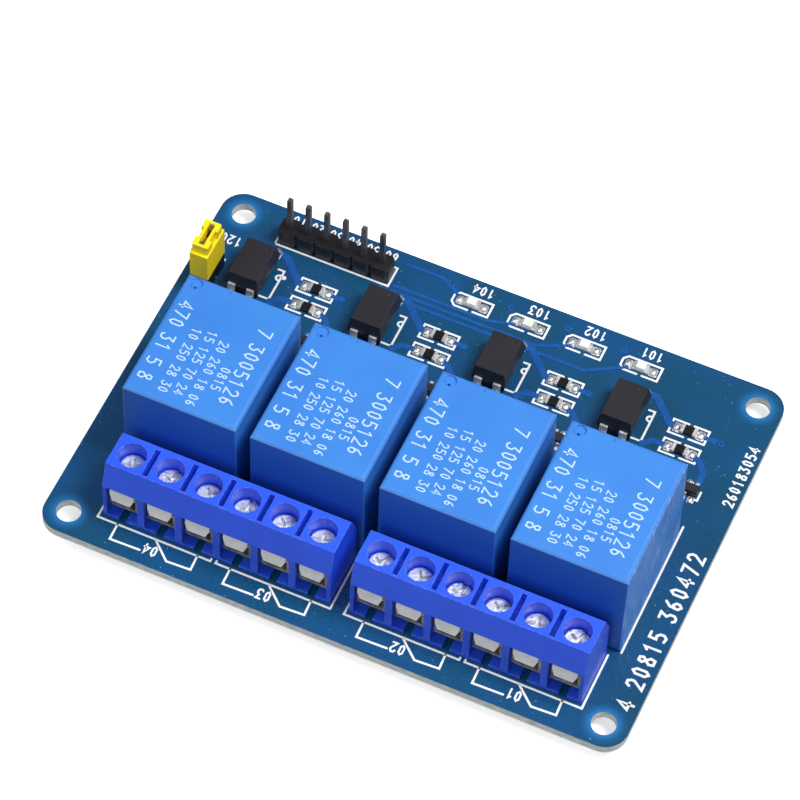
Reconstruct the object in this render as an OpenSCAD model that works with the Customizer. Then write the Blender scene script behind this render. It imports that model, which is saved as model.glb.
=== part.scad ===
// Four-relay module board with screw terminals, control header and jumper.
// Millimetres. X runs along the long edge, Y from the terminal edge to the header edge, Z up.
// The origin is under the middle of the board, at the cut ends of the soldered leads.

/* [Board] */
// Length of the board along X
board_w = 76.3; // [74:0.1:86]
// Width of the board along Y
board_d = 55.6; // [53:0.1:66]
// Thickness of the board
board_t = 1.2; // [0.8:0.1:2.4]
// Corner radius of the board
board_corner_r = 3; // [0.5:0.1:3.5]
// Distance from the board's edges to the middle of each mounting hole
hole_inset = 3.15; // [2.6:0.05:3.4]
// Diameter of the mounting holes
hole_d = 3.1; // [2:0.1:3.4]
// How far the cut leads stand out under the board
lead_drop = 2; // [1.6:0.1:3.5]
// Radial room round a lead in its drilled hole
lead_gap = 0.15; // [0.05:0.01:0.25]

/* [Screw terminals] */
// Distance between neighbouring ways
way_pitch = 5; // [5:0.01:5.1]
// Ways in each row
ways = 6; // [2:1:6]
// Clear space between the two rows
row_gap = 2.55; // [0.5:0.05:4]
// Distance from the board's front edge to the rows
row_inset = 4.5; // [3.9:0.05:6]
// Depth of a row, front to back
row_d = 7.5; // [7.3:0.1:8]
// Height of a row
row_h = 9.8; // [9.4:0.1:12]
// How far the top of a row stands back from its front face
row_slope_front = 1.1; // [0.6:0.05:1.4]
// How far the top of a row stands in from its back face
row_slope_back = 1.65; // [1:0.05:1.9]
// Height of the wire entries
entry_h = 6.2; // [6:0.1:6.6]
// Thickness of the ribs between ways
rib_t = 0.9; // [0.7:0.05:0.9]
// Thickness of the back wall behind the clips
back_wall_t = 0.9; // [0.5:0.05:1.2]
// How far the screws stand forward of the middle of a row
screw_forward = 0.35; // [0:0.05:0.5]
// Diameter of the screwdriver wells
well_d = 3.5; // [3.45:0.05:3.9]
// Width of the relief slot between ways
relief_w = 0.7; // [0.4:0.05:0.9]
// Length of the relief slot
relief_l = 4; // [2:0.1:4.2]
// Depth of the relief slot
relief_depth = 2; // [0.5:0.1:3]
// Thickness of the feet under each wire entry
foot_t = 0.4; // [0.3:0.05:0.9]
// Depth of the feet, front to back
foot_d = 2.2; // [0.8:0.1:3]
// Gap between the two feet of a way
foot_gap = 1; // [0.6:0.1:2]

/* [Clamp in each way] */
// Diameter of the screw head
head_d = 3.3; // [2.9:0.05:3.35]
// Height of the screw head
head_h = 1.15; // [0.9:0.05:1.6]
// Rounding of the screw head's rim
head_round = 0.25; // [0.1:0.05:0.4]
// Room left under the screw head
head_lift = 0.3; // [0.1:0.05:0.8]
// Outside diameter of the screw thread
thread_d = 2.4; // [1.8:0.05:2.4]
// Chamfer at the screw's tip
thread_chamfer = 0.25; // [0.1:0.05:0.4]
// Radial running clearance of the thread
thread_gap = 0.05; // [0.03:0.01:0.08]
// Length of the screw under its head
thread_l = 2.9; // [2.4:0.05:3.2]
// Width of the screwdriver slot
drive_w = 0.55; // [0.4:0.05:0.7]
// Depth of the screwdriver slot
drive_depth = 0.6; // [0.3:0.05:0.8]
// Length of the slot's short cross arm
cross_l = 2.2; // [1.2:0.1:2.6]
// Thickness of the clip's metal
clip_t = 0.45; // [0.3:0.05:0.5]
// Side clearance of a clip in its way
clip_gap = 0.12; // [0.05:0.01:0.2]
// How far the clip stands back from the front of the row
clip_inset = 0.7; // [0.65:0.05:1]
// How far the clip's threaded plate stands back from the clip's front
plate_inset = 0.8; // [0.6:0.05:1]
// Height of the clip's floor over the board
clip_floor = 1.85; // [1.2:0.05:2.2]
// Side of the clip's solder pin
clip_pin_w = 1; // [0.6:0.05:1.2]
// Thickness of the wire guard
guard_t = 0.25; // [0.15:0.01:0.3]
// Width of the wire guard inside the clip
guard_w = 2.72; // [1.6:0.02:2.8]
// Width of the guard's lip in front of the clip
lip_w = 3.2; // [2.8:0.05:3.6]
// Width of the guard's lip at its lower edge
lip_low_w = 2.35; // [1.6:0.05:2.6]
// How far the lip's lower edge stands in front of the row
lip_reach = 0.2; // [0:0.05:0.5]
// How far the lip hangs down into the wire entry
lip_drop = 2; // [1.2:0.05:2.4]

/* [Relays] */
// Distance between neighbouring relays
relay_pitch = 16.76; // [15.6:0.01:17.4]
// Relays in the row
relays = 4; // [1:1:4]
// Width of a relay case at its foot
relay_w = 15.1; // [14:0.1:15.5]
// Depth of a relay case at its foot
relay_d = 18.6; // [17.5:0.1:20]
// Height of the relay tops over the board
relay_top = 15.4; // [12:0.1:20]
// How far the top edges of a case stand in from its foot
relay_draft = 0.1; // [0:0.01:0.3]
// Rounding of the case's edges
relay_edge_r = 0.5; // [0.2:0.05:0.9]
// Wall of the case round its base plate
relay_wall = 1; // [0.5:0.05:1.4]
// Thickness of the base plate
relay_base_t = 1; // [0.6:0.05:1.6]
// Height of the nubs that the base plate stands on
relay_standoff = 0.35; // [0.2:0.05:0.8]
// Diameter of the nubs under the base plate
relay_nub_d = 1.4; // [0.8:0.1:2]
// Clear space between the terminal rows and the relays
relay_gap = 0.85; // [0.3:0.05:1.5]
// Thickness of the relay pins
relay_pin_t = 0.5; // [0.3:0.05:0.8]
// Width of the relay pins
relay_pin_w = 0.95; // [0.6:0.05:1.2]
// Clear space between the outer pins and the case wall
relay_pin_edge = 0.1; // [0.05:0.05:0.4]
// Distance from the case's back to the contact pins
relay_pin_back = 2.6; // [2:0.1:4]
// Distance from the case's front to the coil pins
relay_pin_coil = 4; // [3.4:0.1:5]
// Distance from the case's front to the common pin
relay_pin_common = 2; // [1.6:0.1:2.8]
// Diameter of the sealing recess in a case's top
seal_d = 1.7; // [1:0.1:2.2]
// Depth of the sealing recess
seal_depth = 0.35; // [0.1:0.05:0.6]
// Diameter of the vent in the sealing recess
vent_d = 0.4; // [0.2:0.05:0.6]
// Length of the gate mark at the back of a case's top
gate_l = 0.9; // [0.4:0.1:1.5]
// Width of the gate mark
gate_w = 0.2; // [0.1:0.05:0.4]

/* [Pin headers] */
// Distance between neighbouring header pins
pin_pitch = 2.54; // [2.5:0.01:2.6]
// Side of the square header pins
pin_w = 0.64; // [0.5:0.01:0.66]
// Length of the taper at the pins' ends
pin_taper = 0.3; // [0.1:0.05:0.5]
// Height of the black header strips
strip_h = 2.54; // [2:0.01:2.6]
// Cut corners of each cell of a header strip
strip_cut = 0.35; // [0.1:0.05:0.6]
// Height of the header pins over the board
pin_up = 8.4; // [7.6:0.1:8.44]
// Pins in the control header
control_pins = 6; // [2:1:6]
// Distance from the board's left edge to the control header's first pin
control_left = 10.1; // [9:0.1:11]
// Distance from the board's back edge to the control header's pins
control_inset = 4.2; // [3:0.1:5]
// Pins in the jumper header
jumper_pins = 2; // [2:1:3]
// Distance from the board's left edge to the jumper header's pins
jumper_left = 3.1; // [2:0.05:3.4]
// Distance from the board's back edge to the jumper header's first pin
jumper_back = 12.35; // [11.9:0.05:13]

/* [Jumper cap] */
// Width of the cap
cap_w = 2.5; // [2.3:0.05:2.8]
// Length of the cap
cap_l = 5; // [4.7:0.02:5.4]
// Height of the cap's body
cap_body_h = 4.55; // [4.2:0.05:4.9]
// Height of the narrower grip on the cap
cap_grip_h = 1.45; // [1.3:0.05:2]
// How far the grip's sides stand in from the body
grip_side = 0.14; // [0.05:0.01:0.25]
// How far the grip's ends stand in from the body
grip_end = 0.4; // [0.1:0.05:0.6]
// Length of the finger notches in the grip
notch_l = 1.6; // [0.8:0.1:2]
// Depth of the finger notches
notch_depth = 0.38; // [0.1:0.02:0.5]
// Wall of the cap
cap_wall = 0.5; // [0.3:0.02:0.52]
// Width of the open slot in the cap's top
slot_w = 0.76; // [0.7:0.02:0.9]
// Length of the open slot in the cap's top
slot_l = 3.38; // [3.3:0.02:3.6]
// Thickness of the brass clip in the cap
cap_clip_t = 0.2; // [0.1:0.01:0.22]
// Length of the clip's leaves
cap_clip_l = 3.8; // [3.4:0.05:3.85]
// Height of the clip's lower edge in the cap
cap_clip_up = 0.5; // [0.2:0.05:1]
// Length of the bridge that joins the leaves
bridge_l = 1.1; // [0.6:0.1:1.5]
// Clearance between the brass clip and the header pins
cap_clip_gap = 0.05; // [0.03:0.01:0.07]

/* [Optocouplers] */
// Clear space between the jumper header and the optocouplers
opto_side_gap = 1.65; // [0.5:0.05:2]
// Clear space between the control header and the optocouplers' feet
opto_back_gap = 1.48; // [0.5:0.02:2]
// Width of an optocoupler along X
opto_w = 4.58; // [4:0.02:4.7]
// Depth of an optocoupler along Y
opto_d = 6.5; // [6:0.05:6.8]
// Height of an optocoupler
opto_h = 3.5; // [2.5:0.05:4]
// How far the edges of an optocoupler stand in from its mid line
opto_taper = 0.35; // [0.1:0.01:0.5]
// Height of an optocoupler's body over the board
opto_lift = 0.15; // [0.05:0.05:0.3]
// Distance between an optocoupler's neighbouring leads
opto_lead_pitch = 2.54; // [2.2:0.01:2.6]
// Width of an optocoupler's leads
opto_lead_w = 1; // [0.5:0.05:1.2]
// How far an optocoupler's leads reach out from its body
opto_lead_l = 1.3; // [1:0.05:1.5]
// Thickness of an optocoupler's leads
opto_lead_t = 0.25; // [0.15:0.01:0.3]
// Diameter of the mark by an optocoupler's first lead
opto_mark_d = 0.6; // [0.3:0.05:1]
// Distance of that mark from the body's sides
opto_mark_in = 1.1; // [0.9:0.05:1.4]
// Depth of that mark
opto_mark_depth = 0.12; // [0.05:0.01:0.2]

/* [Chip parts] */
// Length of a chip part
chip_l = 2; // [1.6:0.05:2.05]
// Width of a chip part
chip_w = 1.25; // [0.8:0.05:1.4]
// Height of a chip resistor
chip_h = 0.5; // [0.4:0.05:0.8]
// Length of the end caps of a chip part
chip_cap = 0.4; // [0.2:0.05:0.5]
// Thickness of the end caps
chip_skin = 0.03; // [0.02:0.01:0.06]
// Distance between the two rows of resistors
resistor_rows = 3.05; // [2.6:0.05:3.4]
// How far the resistors stand forward of the optocouplers' middle
resistor_forward = 0.1; // [0:0.05:0.5]
// Distance between neighbouring LEDs
led_pitch = 7.62; // [5:0.02:7.7]
// Distance from the board's right edge to the last LED
led_right = 18.5; // [14:0.1:19]
// Distance from the board's back edge to the LEDs
led_inset = 3.8; // [3:0.1:4.5]
// Height of an LED's base
led_base_h = 0.36; // [0.25:0.01:0.5]
// Length of an LED's lens
lens_l = 1.2; // [0.8:0.05:1.3]
// Height of an LED's lens
lens_h = 0.42; // [0.3:0.02:0.6]
// How far the lens's top edges stand in from its foot
lens_taper = 0.1; // [0.05:0.01:0.2]

/* [Driver parts] */
// Clear space between the relays and the drivers' front leads
driver_gap = 4.55; // [3:0.05:5]
// Clear space between an optocoupler and the diode beside it
diode_gap = 0.2; // [0.1:0.05:0.3]
// Length of a diode's body
diode_l = 2.7; // [2:0.05:2.75]
// Width of a diode's body
diode_w = 1.6; // [1:0.05:1.8]
// Width of a diode's leads
diode_lead_w = 0.6; // [0.3:0.05:0.9]
// Clear space between a diode and the resistors beside it
resistor_gap = 0.26; // [0.1:0.02:0.3]
// Clear space between the resistors and the transistor beside them
transistor_gap = 0.5; // [0.2:0.05:0.55]
// Length of a transistor's body
transistor_l = 2.9; // [2.4:0.05:2.95]
// Width of a transistor's body
transistor_w = 1.3; // [1:0.05:1.4]
// Distance between a transistor's two back leads
transistor_pitch = 1.9; // [1.6:0.05:2.1]
// Width of a transistor's leads
transistor_lead_w = 0.42; // [0.3:0.02:0.5]
// Height of the diodes and transistors
driver_h = 0.95; // [0.8:0.05:1.2]
// How far their edges stand in from the mid line
driver_taper = 0.1; // [0.05:0.01:0.2]
// Height of their bodies over the board
driver_lift = 0.1; // [0.05:0.05:0.15]
// How far their leads reach out from the bodies
driver_lead_l = 0.85; // [0.7:0.05:0.95]
// Thickness of their leads
driver_lead_t = 0.14; // [0.1:0.01:0.2]

/* [Solder] */
// Radius of the solder round a terminal's pin
solder_terminal_r = 1.4; // [1.1:0.05:1.6]
// Radius of the solder round a relay's pin
solder_relay_r = 1.15; // [0.9:0.05:1.4]
// Radius of the solder round a header's pin
solder_header_r = 0.95; // [0.8:0.05:1.1]
// Height of the solder under the board
solder_h = 1.1; // [0.6:0.05:1.2]

/* [Hidden] */
// What is drawn: one node's name, or all of them
eps = 0.02;
$fn = 40;

// Levels: the board's top stands at board_z, and its leads end at ground, seen from the board's top
board_z = lead_drop + board_t;
ground = -board_z;

// Screw terminals
row_front = -board_d / 2 + row_inset;
row_back = row_front + row_d;
row_l = ways * way_pitch;
row_shift = 0.32;
way_y = row_front + row_d / 2 - screw_forward;
way_w = way_pitch - rib_t;
clip_w = way_w - 2 * clip_gap;
clip_inner_w = clip_w - 2 * clip_t;
clip_front = row_front + clip_inset;
clip_back = row_back - back_wall_t - clip_gap;
plate_front = clip_front + plate_inset;
head_z = entry_h + head_lift;
tip_z = head_z - thread_l;
screw_count = 2 * ways;

// Guard: heel under the screw, knee where the leaf rises, crest under the roof, lip in front
guard_heel = clip_back - 0.6;
guard_knee = plate_front - guard_t / 2;
guard_crest = clip_front - clip_t / 4;
lip_z = entry_h - lip_drop;
lip_y = row_front - lip_reach;

// Relays
relay_shift = 0.41;
relay_front = row_back + relay_gap;
relay_y = relay_front + relay_d / 2;
relay_back = relay_front + relay_d;
relay_pin_side = relay_w / 2 - relay_wall - relay_pin_edge - relay_pin_w / 2;
nub_side = relay_w / 2 - relay_wall - 2 * relay_nub_d;
nub_end = relay_d / 2 - relay_wall - 3 * relay_nub_d;

// Pin headers and jumper
control_y = board_d / 2 - control_inset;
jumper_x = -board_w / 2 + jumper_left;
cap_y = board_d / 2 - jumper_back - pin_pitch / 2;
leaf_x = pin_w / 2 + cap_clip_gap;

// Small parts: each relay has a lane, from the jumper header to the right edge
lane_left = jumper_left + pin_pitch / 2 + opto_side_gap;
lane_right = 3.24;
lane_pitch = (board_w - lane_left - lane_right) / relays;
opto_in = opto_w / 2;
diode_in = opto_w + diode_gap + driver_lead_l + diode_l / 2;
resistor_in = diode_in + diode_l / 2 + driver_lead_l + resistor_gap + chip_l / 2;
transistor_in = resistor_in + chip_l / 2 + transistor_gap + transistor_l / 2;
opto_y = control_y - pin_pitch / 2 - opto_back_gap - opto_lead_l - opto_d / 2;
resistor_y = opto_y - resistor_forward;
driver_y = relay_back + driver_gap + driver_lead_l + transistor_w / 2;
led_y = board_d / 2 - led_inset;

relay_set = [0 : relays - 1];
screw_set = [0 : screw_count - 1];
sides = [-1, 1];

function way_x(k) = (k < ways ? -1 : 1) * (row_gap + row_l) / 2
    + (k % ways - (ways - 1) / 2) * way_pitch + row_shift;
function row_x(row) = (2 * row - 1) * (row_gap + row_l) / 2 + row_shift;
function relay_x(i) = (i - (relays - 1) / 2) * relay_pitch + relay_shift;
function lane_x(i) = -board_w / 2 + lane_left + i * lane_pitch;
function led_x(i) = board_w / 2 - led_right - (relays - 1 - i) * led_pitch;
function control_pin_x(n) = -board_w / 2 + control_left + n * pin_pitch;
function jumper_pin_y(n) = board_d / 2 - jumper_back - n * pin_pitch;
function screw_turn(k) = (k * 53 + 20) % 90;
function name_of(base, k) = str(base, "_", k + 1);

// Where a relay's pins stand, about its middle: the common, two for the coil, two contacts
relay_pin_spots = [
    [0, relay_pin_common - relay_d / 2],
    [-relay_pin_side, relay_pin_coil - relay_d / 2],
    [relay_pin_side, relay_pin_coil - relay_d / 2],
    [-relay_pin_side, relay_d / 2 - relay_pin_back],
    [relay_pin_side, relay_d / 2 - relay_pin_back]
];

// ---- Shared shapes ----

// Upright block on z = 0, centred in X and Y
module block(w, d, h) {
    translate([-w / 2, -d / 2, 0]) cube([w, d, h]);
}

// Flat slab with round corners
module round_slab(w, d, r, h) {
    linear_extrude(h) {
        square([w - 2 * r, d], center = true);
        square([w, d - 2 * r], center = true);
        for (sx = sides, sy = sides)
            translate([sx * (w / 2 - r), sy * (d / 2 - r)]) circle(r);
    }
}

// Profile drawn in Y and Z, swept along X and centred
module sweep_x(w, points) {
    translate([-w / 2, 0, 0])
        rotate([90, 0, 90]) linear_extrude(w) polygon(points);
}

// Profile drawn in X and Z, swept along Y and centred
module sweep_y(d, points) {
    translate([0, d / 2, 0])
        rotate([90, 0, 0]) linear_extrude(d) polygon(points);
}

// Points of an arc about c, from angle a0 to a1
function arc(c, r, a0, a1, n = 5) = [
    for (i = [0 : n]) let (a = a0 + (a1 - a0) * i / n) c + r * [cos(a), sin(a)]
];

// One face of a square wire from z0 to z1, tapered at both ends
function wire_profile(w, z0, z1) = [
    [-w / 4, z0], [w / 4, z0], [w / 2, z0 + pin_taper], [w / 2, z1 - pin_taper],
    [w / 4, z1], [-w / 4, z1], [-w / 2, z1 - pin_taper], [-w / 2, z0 + pin_taper]
];

module header_pin() {
    intersection() {
        sweep_x(2 * pin_w, wire_profile(pin_w, ground, pin_up));
        sweep_y(2 * pin_w, wire_profile(pin_w, ground, pin_up));
    }
}

// Sloping sides that meet in an upright band at mid height, where the leads come out
function moulded_profile(w, h, taper, lift, band) = [
    [-w / 2 + taper, lift], [w / 2 - taper, lift],
    [w / 2, lift + (h - band) / 2], [w / 2, lift + (h + band) / 2],
    [w / 2 - taper, lift + h], [-w / 2 + taper, lift + h],
    [-w / 2, lift + (h + band) / 2], [-w / 2, lift + (h - band) / 2]
];

module moulded_body(w, d, h, taper, lift, band) {
    intersection() {
        sweep_x(w + 1, moulded_profile(d, h, taper, lift, band));
        sweep_y(d + 1, moulded_profile(w, h, taper, lift, band));
    }
}

// Formed lead: out of a body's side at y0 and height z1, then down to a foot
module formed_lead(w, y0, reach, z1, t) {
    knee = y0 + reach * 0.24;
    foot = y0 + reach * 0.46;
    sweep_x(w, [
        [y0, z1], [knee, z1], [foot, t], [y0 + reach, t], [y0 + reach, 0],
        [foot - t * 0.8, 0], [knee - t * 0.8, z1 - t], [y0, z1 - t]
    ]);
}

// ---- Board ----

// Drilled lead holes: place of each, and the width of the lead's section
function drill_spots() = concat(
    [for (i = relay_set, p = relay_pin_spots) [relay_x(i) + p[0], relay_y + p[1], relay_pin_w]],
    [for (k = screw_set) [way_x(k), way_y, clip_pin_w * sqrt(2)]],
    [for (n = [0 : control_pins - 1]) [control_pin_x(n), control_y, pin_w * sqrt(2)]],
    [for (n = [0 : jumper_pins - 1]) [jumper_x, jumper_pin_y(n), pin_w * sqrt(2)]]
);

module pcb() {
    color("#1d4f7c")
    translate([0, 0, lead_drop])
    difference() {
        round_slab(board_w, board_d, board_corner_r, board_t);
        for (sx = sides, sy = sides)
            translate([sx * (board_w / 2 - hole_inset), sy * (board_d / 2 - hole_inset), -board_t])
                cylinder(h = 3 * board_t, d = hole_d);
        for (s = drill_spots())
            translate([s[0], s[1], -board_t])
                cylinder(h = 3 * board_t, d = s[2] + 2 * lead_gap, $fn = 24);
    }
}

// ---- Relays ----

// Wall profile of a relay case across a width w, with rounded top edges
function case_profile(w) = let (
    t = w / 2 - relay_draft - relay_edge_r,
    h = relay_top - relay_edge_r
) concat(
    [[-w / 2, relay_standoff], [w / 2, relay_standoff]],
    arc([t, h], relay_edge_r, 0, 90),
    arc([-t, h], relay_edge_r, 90, 180)
);

// Room in the foot of a case for its base plate
module base_plate() {
    translate([0, 0, relay_standoff])
        block(relay_w - 2 * relay_wall, relay_d - 2 * relay_wall, relay_base_t);
}

// Recess with an off-centre vent, where the case is sealed after soldering
module seal_recess() {
    translate([-relay_w / 2 + seal_d * 0.93, relay_d / 2 - seal_d * 0.72, relay_top - seal_depth]) {
        cylinder(h = 2 * seal_depth, d = seal_d);
        translate([0, -seal_d / 4, -seal_depth]) cylinder(h = 2 * seal_depth, d = vent_d, $fn = 16);
    }
}

module relay_case(i) {
    color("#4a93e6")
    translate([relay_x(i), relay_y, board_z])
    difference() {
        intersection() {
            sweep_x(2 * relay_w, case_profile(relay_d));
            sweep_y(2 * relay_d, case_profile(relay_w));
            round_slab(relay_w, relay_d, relay_edge_r, relay_top);
        }
        base_plate();
        seal_recess();
        translate([-relay_w / 9, (relay_d - gate_l) / 2 - relay_draft, relay_top - gate_w])
            block(gate_w, gate_l, relay_edge_r);
    }
}

module relay_base(i) {
    color("#16408f")
    translate([relay_x(i), relay_y, board_z])
    difference() {
        union() {
            base_plate();
            for (sx = sides, sy = sides)
                translate([sx * nub_side, sy * nub_end, 0])
                    cylinder(h = relay_standoff + eps, d = relay_nub_d);
        }
        relay_blades();
    }
}

module relay_blades() {
    for (p = relay_pin_spots)
        translate([p[0], p[1], ground])
            block(relay_pin_w, relay_pin_t, relay_standoff + relay_base_t - ground);
}

module relay_pins(i) {
    color("silver") translate([relay_x(i), relay_y, board_z]) relay_blades();
}

// ---- Screw terminals ----

// Side profile of a terminal row, front to back
function row_profile() = [
    [row_front, 0], [row_back, 0], [row_back, entry_h],
    [row_back - row_slope_back, row_h], [row_front + row_slope_front, row_h], [row_front, entry_h]
];

// Open space of one way: the wire entry, the clip's room and the screwdriver well
module way_room(k) {
    translate([way_x(k), 0, 0]) {
        translate([-way_w / 2, row_front - row_d, -entry_h])
            cube([way_w, 2 * row_d - back_wall_t, 2 * entry_h]);
        translate([0, way_y, entry_h / 2]) cylinder(h = row_h, d = well_d);
    }
}

// The two feet of one way, which stand on the board beside the wire entry
module way_feet(k) {
    foot_w = (way_w - foot_gap) / 2;
    for (s = sides)
        translate([way_x(k) + s * (foot_gap + foot_w + eps) / 2, row_front + foot_d / 2, 0])
            block(foot_w + eps, foot_d, foot_t);
}

module terminal_housing(row) {
    first = row * ways;
    last = first + ways - 1;
    color("#2f5be0")
    translate([0, 0, board_z]) {
        difference() {
            translate([row_x(row), 0, 0]) sweep_x(row_l, row_profile());
            for (k = [first : last]) way_room(k);
            for (k = [first : last - 1])
                translate([way_x(k) + way_pitch / 2, way_y, row_h - relief_depth])
                    block(relief_w, relief_l, 2 * relief_depth);
        }
        for (k = [first : last]) way_feet(k);
    }
}

// One clip: a folded frame round the wire, threaded through its top plate, with a solder pin below
module clip() {
    depth = clip_back - clip_front;
    mid = (clip_front + clip_back) / 2;
    difference() {
        translate([0, mid, clip_floor]) block(clip_w, depth, entry_h - clip_floor);
        translate([0, mid, clip_floor + clip_t])
            block(clip_inner_w, 2 * depth, entry_h - clip_floor - 2 * clip_t);
        translate([0, plate_front - depth, clip_floor + clip_t])
            block(clip_inner_w, 2 * depth, row_h);
        translate([0, way_y, entry_h / 2]) cylinder(h = row_h, r = thread_d / 2 + thread_gap);
    }
    translate([0, way_y, ground]) block(clip_pin_w, clip_pin_w, clip_floor + eps - ground);
}

module terminal_clips(row) {
    color("#c9c7bd")
    translate([0, 0, board_z])
        for (k = [row * ways : row * ways + ways - 1]) translate([way_x(k), 0, 0]) clip();
}

// One wire guard: a leaf under the screw's tip that rises in front of the clip's plate,
// folds under the roof of the entry and hangs down as a lip in front of the clip
module guard() {
    t = guard_t;
    intersection() {
        sweep_x(lip_w, [
            [guard_heel, tip_z], [guard_knee, tip_z], [guard_crest + t, entry_h - t],
            [guard_crest, entry_h], [guard_crest - t, entry_h],
            [lip_y, lip_z], [lip_y + t, lip_z], [guard_crest, entry_h - 2 * t],
            [guard_knee - t, tip_z - t], [guard_heel, tip_z - t]
        ]);
        union() {
            translate([0, (guard_heel + clip_front) / 2, 0])
                block(guard_w, guard_heel - clip_front, row_h);
            translate([0, (lip_y + clip_front) / 2, 0]) sweep_y(clip_front - lip_y, [
                [-lip_low_w / 2, 0], [lip_low_w / 2, 0], [lip_low_w / 2, lip_z],
                [lip_w / 2, lip_z + lip_drop / 2], [lip_w / 2, row_h],
                [-lip_w / 2, row_h], [-lip_w / 2, lip_z + lip_drop / 2], [-lip_low_w / 2, lip_z]
            ]);
        }
    }
}

module wire_guards(row) {
    color("#e8e8ea")
    translate([0, 0, board_z])
        for (k = [row * ways : row * ways + ways - 1]) translate([way_x(k), 0, 0]) guard();
}

module terminal_screw(k) {
    color("#d9d9dc")
    translate([way_x(k), way_y, board_z])
    difference() {
        rotate_extrude()
            polygon(concat(
                [[0, tip_z], [thread_d / 2 - thread_chamfer, tip_z],
                    [thread_d / 2, tip_z + thread_chamfer],
                    [thread_d / 2, head_z], [head_d / 2, head_z]],
                arc([head_d / 2 - head_round, head_z + head_h - head_round], head_round, 0, 90),
                [[0, head_z + head_h]]
            ));
        translate([0, 0, head_z + head_h - drive_depth]) rotate(screw_turn(k)) {
            block(2 * head_d, drive_w, head_h);
            block(drive_w, cross_l, head_h);
        }
    }
}

// ---- Optocouplers ----

module opto_body(i) {
    color("#2a2830")
    translate([lane_x(i) + opto_in, opto_y, board_z])
    difference() {
        moulded_body(opto_w, opto_d, opto_h, opto_taper, opto_lift, opto_lead_t + eps);
        translate([opto_w / 2 - opto_mark_in, opto_d / 2 - opto_mark_in,
                opto_lift + opto_h - opto_mark_depth])
            cylinder(h = opto_h, d = opto_mark_d, $fn = 20);
    }
}

module opto_leads(i) {
    lead_z = opto_lift + (opto_h + opto_lead_t) / 2;
    color("silver")
    translate([lane_x(i) + opto_in, opto_y, board_z])
        for (sx = sides, turn = [0, 180])
            translate([sx * opto_lead_pitch / 2, 0, 0]) rotate(turn)
                formed_lead(opto_lead_w, opto_d / 2, opto_lead_l, lead_z, opto_lead_t);
}

// ---- Drivers behind the relays ----

driver_lead_z = driver_lift + (driver_h + driver_lead_t) / 2;

module driver_body(l, w) {
    moulded_body(l, w, driver_h, driver_taper, driver_lift, driver_lead_t + eps);
}

module driver_lead(w, y0) {
    formed_lead(w, y0, driver_lead_l, driver_lead_z, driver_lead_t);
}

module at_transistors() {
    for (i = relay_set) translate([lane_x(i) + transistor_in, driver_y, board_z]) children();
}

module at_diodes() {
    for (i = relay_set) translate([lane_x(i) + diode_in, driver_y, board_z]) children();
}

module transistor_bodies() {
    color("#232127") at_transistors() driver_body(transistor_l, transistor_w);
}

module transistor_leads() {
    color("silver") at_transistors() {
        for (s = sides)
            translate([s * transistor_pitch / 2, 0, 0])
                driver_lead(transistor_lead_w, transistor_w / 2);
        rotate(180) driver_lead(transistor_lead_w, transistor_w / 2);
    }
}

module diode_bodies() {
    color("#26242a") at_diodes() driver_body(diode_l, diode_w);
}

module diode_leads() {
    color("silver") at_diodes()
        for (turn = [-90, 90]) rotate(turn) driver_lead(diode_lead_w, diode_l / 2);
}

// ---- Chip parts ----

module at_resistors() {
    for (i = relay_set, s = sides)
        translate([lane_x(i) + resistor_in, resistor_y + s * resistor_rows / 2, board_z]) children();
}

module at_leds() {
    for (i = relay_set) translate([led_x(i), led_y, board_z]) children();
}

// Body of a chip part, between and inside its end caps
module chip_core(h) {
    translate([0, 0, chip_skin])
        block(chip_l - 2 * chip_skin, chip_w - 2 * chip_skin, h - 2 * chip_skin);
}

// The two metal caps that wrap the ends of a chip part
module chip_caps(h) {
    for (s = sides)
        difference() {
            translate([s * (chip_l - chip_cap) / 2, 0, 0]) block(chip_cap, chip_w, h);
            chip_core(h);
        }
}

module resistor_bodies() {
    color("#1c1a1a") at_resistors() chip_core(chip_h);
}

module resistor_caps() {
    color("#dcdce0") at_resistors() chip_caps(chip_h);
}

module led_bases() {
    color("#eeeae0") at_leds() chip_core(led_base_h);
}

module led_lenses() {
    color("#f4f4ec")
    at_leds() translate([0, 0, led_base_h - chip_skin])
        sweep_x(chip_w - 2 * chip_skin, lens_profile());
}

function lens_profile() = [
    [-lens_l / 2, 0], [lens_l / 2, 0], [lens_l / 2 - lens_taper, lens_h],
    [-lens_l / 2 + lens_taper, lens_h]
];

module led_caps() {
    color("#dcdce0") at_leds() chip_caps(led_base_h);
}

// ---- Pin headers and jumper ----

// One cell of a header strip, with cut corners and a tight hole for its pin
module strip_cell() {
    a = pin_pitch / 2;
    c = a - strip_cut;
    linear_extrude(strip_h)
        difference() {
            polygon([[-a, -c], [-c, -a], [c, -a], [a, -c], [a, c], [c, a], [-c, a], [-a, c]]);
            square(pin_w, center = true);
        }
}

module at_control_pins() {
    for (n = [0 : control_pins - 1])
        translate([control_pin_x(n), control_y, board_z]) children();
}

module at_jumper_pins() {
    for (n = [0 : jumper_pins - 1])
        translate([jumper_x, jumper_pin_y(n), board_z]) children();
}

module control_strip() {
    color("#1b1a1f") at_control_pins() strip_cell();
}

module control_pins_row() {
    color("#b9b6b0") at_control_pins() header_pin();
}

module jumper_strip() {
    color("#1b1a1f") at_jumper_pins() strip_cell();
}

module jumper_pins_row() {
    color("#b9b6b0") at_jumper_pins() header_pin();
}

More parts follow.
